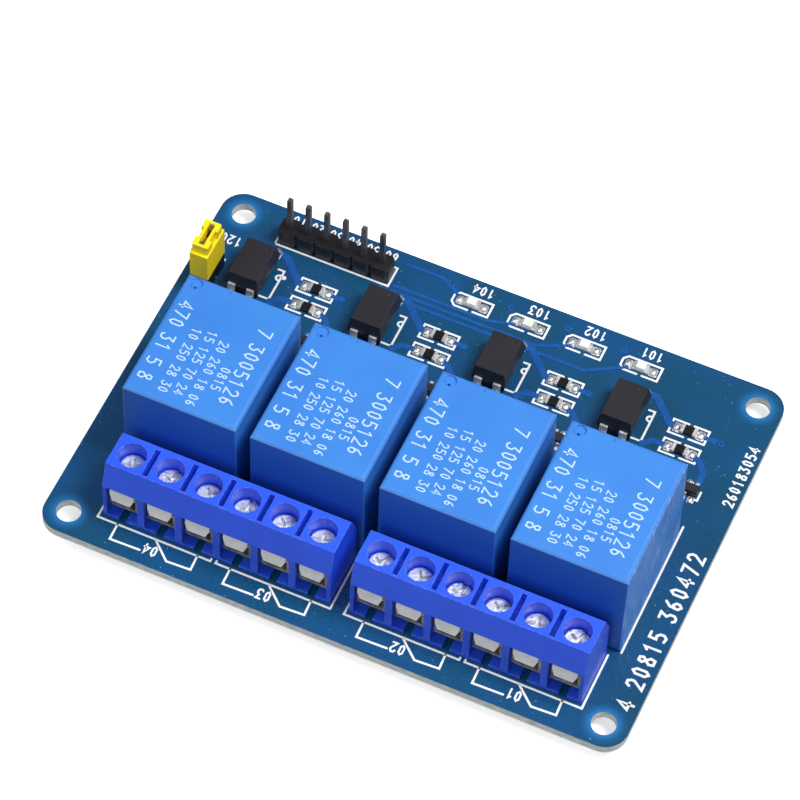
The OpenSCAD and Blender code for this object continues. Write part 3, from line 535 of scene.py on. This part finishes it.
class RELAYBOARD_OT_finishes(bpy.types.Operator):
    """Gives every CAD part its real material"""

    bl_idname = "relayboard.finishes"
    bl_label = "Finishes"

    def execute(self, context):
        c = context.scene.relay_colours
        # Pale edge colour: painted edge highlight mixed with wear, for the plastics below
        pale = linear("#dfe8f5")
        made = {
            "pcb": solder_mask(c, context.scene.relay_sizes),
            "relay_case": relay_plastic(c),
            "relay_base": moulded_plastic(
                "moulded_polyester_base", linear("#0e2c63"), linear("#0a2250"), 0.45, 0.2, 0.1, pale, 0.1
            ),
            "terminal_housing": moulded_plastic(
                "moulded_polyamide_blue", c.terminal[:], c.terminal_deep[:], 0.36, 0.15, 0.14,
                pale, 0.6, 5.0, 0.005,
            ),
            "wire_guard": bright_metal(
                "tinned_spring_steel", "#fbfbfa", "#e8e9e8", 0.5, 0.8, 0.01, metallic=0.5
            ),
            # Terminal clips: darker brownish tone, partly brass tint and partly painted shade of the recess
            # they sit in
            "terminal_clip": bright_metal("nickelled_brass_clip", "#cfc6ba", "#8d8378", 0.42, 0.5, 0.02),
            "terminal_screw": bright_metal("zinc_plated_steel", "#fbfcfc", "#dfe2e4", 0.46, 0.55, 0.03, 0.05),
            "opto_body": moulded_plastic(
                "moulded_epoxy_black", linear("#26242b"), linear("#1b1a21"), 0.4, 0.12, 0.12,
                linear("#8a8790"), 0.3,
            ),
            "header": moulded_plastic(
                "moulded_nylon_black", linear("#17171b"), linear("#101013"), 0.38, 0.15, 0.1,
                linear("#7c7b80"), 0.35,
            ),
            "leads": bright_metal("tin_plated_lead", "#f4f3f2", "#cdccca", 0.5, 0.5, 0.01),
            "pins": bright_metal("tin_plated_square_pin", "#a39c98", "#857d7a", 0.42, 0.8, 0.006),
            "caps": bright_metal("tinned_end_cap", "#f6f6f4", "#d2d2d0", 0.5, 0.5, 0.01),
            "solder": bright_metal("solder_fillet", "#eceeee", "#c6c9cb", 0.36, 0.9, 0.012),
            "resistor": moulded_plastic(
                "glazed_ruthenium_film", linear("#141417"), linear("#0d0d10"), 0.3, 0.2, 0.08,
                linear("#9a9aa0"), 0.3,
            ),
            "led_base": moulded_plastic(
                "white_reflector_laminate", linear("#e8e9e2"), linear("#d3d6cc"), 0.5, 0.2, 0.05, pale, 0.1
            ),
            "led_lens": milky_resin(c),
            "jumper_cap": moulded_plastic(
                "moulded_polyester_yellow", c.jumper[:], linear("#f6da18"), 0.4, 0.15, 0.18,
                linear("#fff7a0"), 0.25,
            ),
            "jumper_clip": bright_metal("phosphor_bronze_strip", "#d9a35c", "#a06a2e", 0.3, 0.4, 0.01),
        }
        kinds = (
            ("pcb", "pcb"), ("relay_case", "relay_case"), ("relay_base", "relay_base"),
            ("relay_pins", "leads"),
            ("terminal_housing", "terminal_housing"), ("terminal_clips", "terminal_clip"),
            ("wire_guards", "wire_guard"), ("terminal_screw", "terminal_screw"), ("opto_body", "opto_body"),
            ("opto_leads", "leads"), ("transistor_bodies", "opto_body"), ("transistor_leads", "leads"),
            ("diode_bodies", "opto_body"), ("diode_leads", "leads"), ("resistor_bodies", "resistor"),
            ("resistor_caps", "caps"), ("led_bases", "led_base"), ("led_lenses", "led_lens"),
            ("led_caps", "caps"),
            ("control_strip", "header"), ("jumper_strip", "header"), ("control_pins", "pins"),
            ("jumper_pins", "pins"), ("jumper_cap", "jumper_cap"), ("jumper_clip", "jumper_clip"),
            ("solder_joints", "solder"),
        )
        for name, node in NODES.items():
            kind = next((k for prefix, k in kinds if name.startswith(prefix)), None)
            if kind is None:
                raise RuntimeError(f"no finish for {name}")
            node.data.materials.clear()
            node.data.materials.append(made[kind])
        return {"FINISHED"}


class RELAYBOARD_OT_board_print(bpy.types.Operator):
    """Prints the outlines, contact symbols and plain numbers on the board"""

    bl_idname = "relayboard.board_print"
    bl_label = "Board Print"

    def execute(self, context):
        s = context.scene.relay_sizes
        ink = screen_print("screen_printed_ink", context.scene.relay_colours.ink[:])
        line = s.ink_line
        low, high = BOARD_TOP, BOARD_TOP + s.ink_height
        bm = bmesh.new()

        def draw(*points, width=line):
            stroke(bm, points, width, low, high)

        # Terminal rows: front line with breaks beside each row's middle way, and sides running back
        for x0, x1, gap, back_left, back_right in (
            (-31.5, -0.65, -16.11, -22.0, -15.86), (1.15, 31.86, 16.48, -22.0, -15.86)
        ):
            draw((x0, back_left), (x0, -23.9), (gap - 0.35, -23.9), (gap - 0.35, -23.55))
            draw((gap + 0.35, -23.55), (gap + 0.35, -23.9), (x1, -23.9), (x1, back_right))
        # Contact symbol and relay number before each relay's three poles
        for i in range(len(RELAYS)):
            x = WAYS[3 * i + 1].x
            draw((x - 5.36, -23.9), (x - 5.31, -26.15), (x - 1.37, -26.05))
            draw((x - 0.13, -24.05), (x + 2.23, -26.15), (x + 5.38, -26.0), (x + 5.28, -23.9))
            numbers(bm, f"0{4 - i}", x + 0.7, -24.9, 1.3, 180, 0.24, low, high + LAYER)
        # Optocouplers: outline with the notch end at the right
        half_w, half_d = 3.3, 2.35
        for x, resistor, transistor, diode in lanes():
            back, front = OPTO_Y + half_d, OPTO_Y - half_d
            draw((x + 2.5, back), (x + half_w, back), (x + half_w, front), (x + 1.95, front))
            turns = [math.pi * k / 8 for k in range(9)]
            notch_x, notch_y = x + half_w - 0.1, OPTO_Y + 1.15
            bow = [(notch_x - 0.5 * math.sin(turn), notch_y + 0.4 * math.cos(turn)) for turn in turns]
            stroke(bm, bow, line, low, high + LAYER)
            # A bracket round each end of the resistors
            for y in RESISTOR_YS:
                for side in (-1, 1):
                    inner, outer = resistor + side * 0.35, resistor + side * 2.36
                    draw((inner, y + 1.04), (outer, y + 1.04), (outer, y - 1.04), (inner, y - 1.04))
            draw((transistor - 1.75, 9.9), (transistor - 1.75, 8.8), (transistor - 1.15, 8.8))
            draw((transistor + 1.72, 10.1), (transistor + 1.72, 8.8), (transistor + 1.1, 8.8))
            draw((diode - 2.7, 8.6), (diode + 2.4, 8.6))
            draw((diode - 2.7, 10.8), (diode + 2.4, 10.8))
            draw((diode - 2.7, 8.6), (diode - 2.7, 10.8), width=0.35)
        # LEDs: outline pointed at the left, and a number behind each
        for i, x in enumerate(LED_XS):
            front, back = LED_Y - 1.05, LED_Y + 1.05
            tip = ((x - 2.0, front), (x - 2.55, LED_Y - 0.5), (x - 2.55, LED_Y + 0.5), (x - 2.0, back))
            draw((x - 0.2, front), *tip, (x + 2.5, back), (x + 2.5, front), (x + 0.5, front))
            numbers(bm, f"10{4 - i}", x + 1.9, 27.05, s.digit, 180, 0.22, low, high)
        # Headers
        draw((-29.48, 22.1), (-13.88, 22.1), (-13.88, 25.1), (-29.48, 25.1), (-29.48, 22.1))
        for k in range(6):
            numbers(bm, f"{k + 1}0", PIN_X + 0.85 + PIN_PITCH * k, 27.1, s.digit, 180, 0.22, low, high)
        draw((-34.1, 10.9), (-34.1, 17.2))
        draw((-34.55, 16.8), (-34.1, 16.8))
        numbers(bm, "120", -33.4, 20.9, s.digit, 180, 0.22, low, high)
        # Plain numbers up the right edge
        draw((33.17, 4.6), (33.17, -14.9))
        numbers(bm, "4 20815 360472", 37.3, -21.9, 2.0, 90, 0.33, low, high, 0.9)
        numbers(bm, "260183054", 37.5, 9.6, 1.25, 90, 0.24, low, high, 0.86)
        plate(bm, disc(-26.19, 17.71, 0.32, 12), low, high)
        piece("board_print", bm, ink)
        return {"FINISHED"}


class RELAYBOARD_OT_copper(bpy.types.Operator):
    """Lays the tracks, vias and tinned pads on both faces"""

    bl_idname = "relayboard.copper"
    bl_label = "Copper"

    def execute(self, context):
        c, s = context.scene.relay_colours, context.scene.relay_sizes
        covered = covered_copper(c)
        tinned = bright_metal("tinned_copper_pad", "#f2f3f1", "#c9cccc", 0.48, 0.8, 0.01)
        low, high = BOARD_TOP, BOARD_TOP + s.track_height
        tracks, vias, pads = bmesh.new(), bmesh.new(), bmesh.new()

        count = iter(range(1000))

        def track(*points, width=s.track_wide):
            stroke(tracks, points, width, low, high + LAYER / 3 * next(count))

        def via(x, y):
            stroke(vias, disc(x, y, 0.34, 14), 0.26, low, high + 12 * LAYER, closed=True)

        def pad(x, y, w, d):
            plate(pads, cut_corners(x, y, w, d, min(w, d) * 0.18), low, low + s.pad_height, 0.06)

        upper, lower = RESISTOR_YS
        for i, (opto, x, t, e) in enumerate(lanes()):
            track((opto + 1.27, 20.9), (opto + 2.6, 20.9), (x - 2.6, 17.9), (x - 1.6, 17.72))
            track((x + 1.6, 17.72), (x + 3.4, 17.72), width=0.6)
            track((x - 1.6, 14.68), (x - 3.6, 14.68), (x - 4.6, 13.7), width=0.8)
            track((x + 1.6, 14.68), (x + 2.9, 14.1), (t + 0.95, 12.7), (t + 0.95, 11.0), width=0.8)
            track((e - 2.4, 9.7), (e - 3.2, 10.6), (e - 3.2, 12.6), width=0.8)
            track((t, 8.5), (t, 6.2), (t - 1.6, 4.6), width=0.8)
            via(x + 3.4, 17.72)
            if i == 3:
                via(x + 4.2, 17.69)
            via(x - 4.6, 13.7)
            via(e - 3.2, 12.6)
            for side in (-1, 1):
                pad(x + side * 1.55, upper, 1.1, 1.4)
                pad(x + side * 1.55, lower, 1.1, 1.4)
                pad(e + side * 1.95, DRIVER_Y, 1.3, 1.5)
                pad(t + side * 0.95, 8.62, 0.9, 1.0)
                for end in (-1, 1):
                    pad(opto + side * PIN_PITCH / 2, OPTO_Y + end * 4.35, 1.3, 1.5)
            pad(t, 10.78, 0.9, 1.0)
        for x in LED_XS:
            pad(x - 1.55, LED_Y, 1.15, 1.3)
            pad(x + 1.6, LED_Y, 1.15, 1.3)
            via(x - 2.9, 25.6)
        for back, left, turn_x, end in (
            (26.2, -13.0, -8.0, (-4.9, 24.3)), (22.5, -13.2, -0.6, (2.8, 23.4)),
            (21.6, -13.4, 6.4, (10.4, 23.4)), (20.7, -13.6, 13.4, (18.0, 23.4)),
        ):
            track((left, back), (turn_x, back), end, width=s.track_thin)
        via(-19.8, 11.1)
        piece("board_tracks", tracks, covered)
        piece("board_vias", vias, covered)
        piece("board_pads", pads, tinned)

        # Under the board: tinned rings round the leads, wide relay tracks and signal tracks
        under, rings = bmesh.new(), bmesh.new()
        count = iter(range(1000))
        top, base = BOARD_UNDER, BOARD_UNDER - s.track_height

        def below(*points, width=s.track_wide):
            stroke(under, points, width, base - LAYER / 3 * next(count), top)

        def ring(x, y, r):
            plate(rings, disc(x, y, r, 20)[::-1], top, BOARD_UNDER - 0.05)

        for i, (a, b) in enumerate(RELAYS):
            x = (a.x + b.x) / 2
            for k in range(3):
                way = WAYS[3 * i + k]
                ring(way.x, way.y, 1.5)
            left, pole, right = (WAYS[3 * i + k].x for k in range(3))
            below((pole, SCREW_Y), (x, -12.4), width=3.0)
            below((left, SCREW_Y), (left, -6.0), (x - 6.0, 1.4), width=2.2)
            below((right, SCREW_Y), (x + 6.0, -12.4), width=2.4)
            below((x - 6.0, 1.4), (x - 6.0, 7.0), (x - 3.4, 9.7), width=1.0)
            below((x + 6.0, 1.4), (x + 6.0, 6.4), (x + 6.0, 9.0), width=1.0)
            opto = (OPTOS[i][0].x + OPTOS[i][1].x) / 2
            below((opto - 1.27, 12.0), (opto - 1.27, 20.6), (opto + 0.5, 22.6), width=0.4)
        for k in range(6):
            x = PIN_X + PIN_PITCH * k
            ring(x, PIN_Y, 0.9)
            below((x, PIN_Y), (x, 20.6 - 0.55 * k), (-20 + 7.2 * k, 18.4 - 0.55 * k), width=0.4)
        for y in JUMPER_YS:
            ring(JUMPER_X, y, 0.9)
        below((JUMPER_X, JUMPER_YS[0]), (JUMPER_X, 22.0), (-30.6, 26.4), (31.0, 26.4), width=0.8)
        below((JUMPER_X, JUMPER_YS[1]), (JUMPER_X, 5.4), (33.0, 5.4), width=1.2)
        piece("under_tracks", under, covered)
        piece("under_pads", rings, tinned)
        return {"FINISHED"}


class RELAYBOARD_OT_solder(bpy.types.Operator):
    """Builds the solder fillets of the surface-mounted parts"""

    bl_idname = "relayboard.solder"
    bl_label = "Solder"

    def execute(self, context):
        solder = bright_metal("reflowed_solder", "#fafbfb", "#dcdede", 0.45, 0.9, 0.008)
        bm = bmesh.new()

        def mound(x, y, rx, ry, rise, lean=(0, 0)):
            """A blob of solder flowed out on its pad, leaning towards the lead"""
            levels, sides = 5, 14
            last = None
            base_z = BOARD_TOP + 0.03
            for k in range(levels):
                t = k / (levels - 1)
                middle = (x + lean[0] * t, y + lean[1] * t)
                share = math.cos(t * math.pi / 2) ** 0.8
                z = base_z + rise * math.sin(t * math.pi / 2) ** 1.1
                if k == levels - 1:
                    tip = bm.verts.new((*middle, z))
                    for i in range(sides):
                        bm.faces.new((last[i], last[(i + 1) % sides], tip))
                    break
                outline = disc(*middle, rx * share, sides, ry * share)
                now = [bm.verts.new((*point, z)) for point in outline]
                if last:
                    for i in range(sides):
                        j = (i + 1) % sides
                        bm.faces.new((last[i], last[j], now[j], now[i]))
                else:
                    bm.faces.new(now[::-1])
                last = now

        for opto, x, t, e in lanes():
            for side in (-1, 1):
                for end in (-1, 1):
                    mound(opto + side * PIN_PITCH / 2, OPTO_Y + end * 4.5, 0.62, 0.75, 0.6, (0, -end * 0.25))
                for y in RESISTOR_YS:
                    mound(x + side * 1.72, y, 0.42, 0.6, 0.34, (-side * 0.16, 0))
                mound(e + side * 2.1, DRIVER_Y, 0.5, 0.62, 0.34, (-side * 0.18, 0))
                mound(t + side * 0.95, 8.45, 0.36, 0.45, 0.26, (0, 0.14))
            mound(t, 10.95, 0.36, 0.45, 0.26, (0, -0.14))
        for x in LED_XS:
            for side in (-1, 1):
                mound(x + side * 1.75, LED_Y, 0.4, 0.56, 0.34, (-side * 0.16, 0))
        piece("solder_fillets", bm, solder)
        bpy.data.objects["solder_fillets"].data.shade_smooth()
        return {"FINISHED"}


class RELAYBOARD_OT_relay_print(bpy.types.Operator):
    """Prints rows of plain numbers on the relay tops"""

    bl_idname = "relayboard.relay_print"
    bl_label = "Relay Print"

    def execute(self, context):
        ink = screen_print("pad_printed_ink_pale", context.scene.relay_colours.relay_ink[:], 0.5)
        rows = (
            ("470 31 5 8", -4.75, 5.2, 1.75, 0.2), ("10 250 28 30", -2.3, 2.1, 1.15, 0.15),
            ("15 125 70 24", -0.4, 2.5, 1.15, 0.15), ("20 260 18 06", 1.5, 1.7, 1.15, 0.15),
            ("0815", 3.3, -1.6, 1.15, 0.15), ("7 3005126", 5.55, 5.4, 1.75, 0.2),
        )
        for i, (a, b) in enumerate(RELAYS):
            x, y = (a.x + b.x) / 2, (a.y + b.y) / 2
            bm = bmesh.new()
            for text, dx, dy, height, width in rows:
                numbers(bm, text, x + dx - height, y + dy, height, -90, width, b.z, b.z + 0.02, 0.8)
            piece(f"relay_print_{i + 1}", bm, ink)
        return {"FINISHED"}


class RELAYBOARD_OT_stage(bpy.types.Operator):
    """Sets the floor, the studio light and the camera"""

    bl_idname = "relayboard.stage"
    bl_label = "Stage"

    def execute(self, context):
        scene = context.scene
        bm = bmesh.new()
        bmesh.ops.create_grid(bm, x_segments=1, y_segments=1, size=1.6)
        mesh = bpy.data.meshes.new("studio_floor")
        bm.to_mesh(mesh)
        bm.free()
        floor = bpy.data.objects.new("studio_floor", mesh)
        scene.collection.objects.link(floor)
        material, tree, shader = start("matt_white_sweep")
        white = mix(tree, grain(tree, 40.0, 2.0), linear("#fcfcfc"), linear("#ffffff"))
        seen = add(tree, "ShaderNodeLightPath").outputs["Is Camera Ray"]
        tree.links.new(mix(tree, seen, linear("#8c8f94"), white), shader.inputs["Base Color"])
        tree.links.new(mix(tree, seen, (0, 0, 0, 1), linear("#ffffff")), shader.inputs["Emission Color"])
        shader.inputs["Emission Strength"].default_value = 0.6
        shader.inputs["Roughness"].default_value = 0.9
        mesh.materials.append(material)

        world = bpy.data.worlds.new("studio_world")
        scene.world = world
        world.use_nodes = True
        tree = world.node_tree
        tree.nodes.clear()
        seen = add(tree, "ShaderNodeLightPath").outputs["Is Camera Ray"]
        lit = add(tree, "ShaderNodeBackground", values={"Color": linear("#f4f7fb"), "Strength": 0.2})
        plain = add(tree, "ShaderNodeBackground", values={"Color": (1, 1, 1, 1), "Strength": 1.0})
        both = add(tree, "ShaderNodeMixShader", {0: seen, 1: lit.outputs[0], 2: plain.outputs[0]})
        add(tree, "ShaderNodeOutputWorld", {"Surface": both.outputs[0]})

        for name, at, size, power in (
            ("key", (0.26, 0.06, 0.54), 0.24, 3.4),
            ("fill", (-0.44, -0.12, 0.40), 0.30, 1.0),
            ("front", (0.02, -0.50, 0.42), 0.34, 1.0),
        ):
            light = bpy.data.lights.new(name, "AREA")
            light.size, light.energy = size, power
            lamp = bpy.data.objects.new(name, light)
            scene.collection.objects.link(lamp)
            lamp.location = at
            lamp.rotation_euler = (-Vector(at)).to_track_quat("-Z", "Y").to_euler()

        # Camera: turned and tipped about a point on the board, with a little roll
        turn, tip, roll, away = math.radians(22.335), math.radians(55.753), math.radians(2.26), 0.5324
        back = Vector((math.sin(turn) * math.cos(tip), -math.cos(turn) * math.cos(tip), math.sin(tip)))
        right = Vector((0, 0, 1)).cross(back).normalized()
        up = back.cross(right)
        axes = (
            math.cos(roll) * right + math.sin(roll) * up,
            math.cos(roll) * up - math.sin(roll) * right,
            back,
        )
        matrix = Matrix(axes).transposed().to_4x4()
        matrix.translation = Vector((-0.005433, 0.007034, BOARD_TOP * MM)) + back * away
        camera = bpy.data.cameras.new("camera")
        camera.lens, camera.sensor_width, camera.clip_start = 194.85, 36.0, 0.01
        eye = bpy.data.objects.new("camera", camera)
        scene.collection.objects.link(eye)
        eye.matrix_world = matrix
        scene.camera = eye
        scene.view_settings.view_transform = "Standard"
        return {"FINISHED"}


class RELAYBOARD_PT_panel(bpy.types.Panel):
    """Lists the steps in the 3D view's sidebar"""

    bl_idname = "RELAYBOARD_PT_panel"
    bl_label = "Relay Board"
    bl_space_type = "VIEW_3D"
    bl_region_type = "UI"
    bl_category = "Relay Board"

    def draw(self, context):
        layout = self.layout
        for step in STEPS:
            layout.operator(step.bl_idname)
        for group in (context.scene.relay_colours, context.scene.relay_sizes):
            column = layout.column()
            for key in group.bl_rna.properties.keys():
                if key not in ("rna_type", "name"):
                    column.prop(group, key)


STEPS = (
    RELAYBOARD_OT_finishes,
    RELAYBOARD_OT_board_print,
    RELAYBOARD_OT_copper,
    RELAYBOARD_OT_solder,
    RELAYBOARD_OT_relay_print,
    RELAYBOARD_OT_stage,
)
CLASSES = (RelayBoardColours, RelayBoardSizes, *STEPS, RELAYBOARD_PT_panel)


def register():
    for item in CLASSES:
        bpy.utils.register_class(item)
    bpy.types.Scene.relay_colours = bpy.props.PointerProperty(type=RelayBoardColours)
    bpy.types.Scene.relay_sizes = bpy.props.PointerProperty(type=RelayBoardSizes)


def unregister():
    del bpy.types.Scene.relay_sizes
    del bpy.types.Scene.relay_colours
    for item in reversed(CLASSES):
        bpy.utils.unregister_class(item)


def main():
    """Builds everything in order."""
    register()
    for step in STEPS:
        group, name = step.bl_idname.split(".")
        getattr(getattr(bpy.ops, group), name)()


if __name__ == "__main__":
    main()
